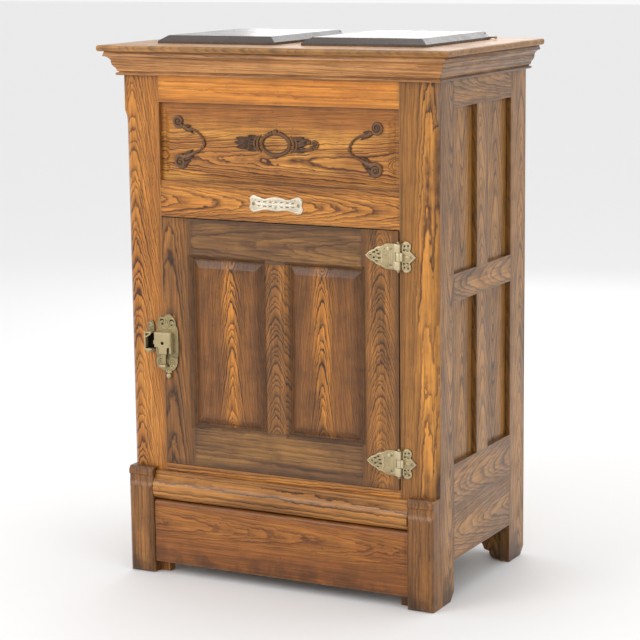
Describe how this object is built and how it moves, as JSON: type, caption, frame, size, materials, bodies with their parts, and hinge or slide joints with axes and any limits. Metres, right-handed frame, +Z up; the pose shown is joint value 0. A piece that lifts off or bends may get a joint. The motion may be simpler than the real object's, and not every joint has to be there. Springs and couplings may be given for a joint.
{
  "type": "icebox",
  "caption": "Oak top-filled icebox: panelled insulated case on block feet, hinged door with latch, lids over the ice chamber, kick flap, drain and drip pan.",
  "frame": {"origin": "centre of the cabinet's footprint box, on the floor", "axes": "+Z up; the door faces -Y; +X is to the right of someone facing the door"},
  "size_m": [0.736, 0.454, 1.052],
  "materials": {
    "oak_front": "golden oak, aged satin varnish",
    "oak_door": "darker oak, aged satin varnish",
    "oak_side": "greyed oak, aged satin varnish",
    "oak_base": "reddish oak, aged satin varnish",
    "oak_top": "golden oak, aged satin varnish",
    "oak_lid": "dark brown varnish",
    "pine": "bare aged softwood",
    "insulation": "matt fibre fill",
    "zinc": "dull zinc sheet",
    "wire": "tinned wire",
    "hardware": "aged cast metal with worn plating",
    "pin_steel": "aged steel",
    "nameplate": "pale stamped metal, blank",
    "carving": "dark carved wood",
    "gasket": "felt"
  },
  "bodies": {
    "cabinet": {"back_boards": "pine", "base_block_left": "oak_base", "base_block_right": "oak_base", "case_screws": "pin_steel", "centre_ornament": "carving", "corner_ornaments": "carving", "cornice_front": "oak_top", "cornice_sides": "oak_top", "door_jamb": "pine", "drain_pipe": "zinc", "floor_board": "pine", "food_liner": "zinc", "frame_hinge_leaves": "hardware", "front_bottom_rail": "oak_front", "front_middle_rail": "oak_front", "front_stile_left": "oak_front", "front_stile_right": "oak_front", "front_top_rail": "oak_front", "hinge_pins": "pin_steel", "ice_front_panel": "oak_front", "ice_liner": "zinc", "ice_rack": "pine", "ice_tray": "zinc", "inner_rests": "pine", "insulation": "insulation", "latch_keeper": "hardware", "lid_hinge_bases": "hardware", "nameplate": "nameplate", "pan_runners": "pine", "rear_feet": "oak_side", "roll_moulding": "oak_base", "side_panels_left": "oak_side", "side_panels_right": "oak_side", "side_rails_left": "oak_side", "side_rails_right": "oak_side", "side_stiles_left": "oak_side", "side_stiles_right": "oak_side", "top_boards": "oak_top", "wire_shelves": "wire"},
    "door": {"door_stiles": "oak_door", "door_rails": "oak_door", "door_muntin": "oak_door", "door_panels": "oak_door", "door_insulation": "insulation", "door_liner": "zinc", "door_gasket": "gasket", "door_hinge_leaves": "hardware", "latch_plate": "hardware", "latch_pivot": "pin_steel", "door_screws": "pin_steel"},
    "latch": {"latch_lever": "hardware"},
    "lid_left": {"lid_left": "oak_lid", "lid_plug_left": "insulation", "lid_hinge_leaves_left": "hardware"},
    "lid_right": {"lid_right": "oak_lid", "lid_plug_right": "insulation", "lid_hinge_leaves_right": "hardware"},
    "kick_flap": {"kick_flap": "oak_base", "flap_pins": "pin_steel"},
    "drip_pan": {"drip_pan": "zinc"}
  },
  "joints": [
    {"name": "door_hinge", "type": "hinge", "parent": "cabinet", "child": "door", "pos_m": [0.2545, -0.1966, 0.4675], "axis": [0, 0, 1], "range_deg": [0, 150]},
    {"name": "latch_pivot", "type": "hinge", "parent": "door", "child": "latch", "pos_m": [-0.249, -0.2, 0.463], "axis": [0, -1, 0], "range_deg": [0, 20]},
    {"name": "lid_left_hinge", "type": "hinge", "parent": "cabinet", "child": "lid_left", "pos_m": [-0.1595, 0.1679, 1.0406], "axis": [-1, 0, 0], "range_deg": [0, 105]},
    {"name": "lid_right_hinge", "type": "hinge", "parent": "cabinet", "child": "lid_right", "pos_m": [0.1535, 0.1679, 1.0406], "axis": [-1, 0, 0], "range_deg": [0, 105]},
    {"name": "kick_flap_hinge", "type": "hinge", "parent": "cabinet", "child": "kick_flap", "pos_m": [0, -0.19755, 0.14045], "axis": [-1, 0, 0], "range_deg": [0, 90]},
    {"name": "drip_pan_slide", "type": "slide", "parent": "cabinet", "child": "drip_pan", "axis": [0, 1, 0], "range_m": [0, 0.25]}
  ]
}
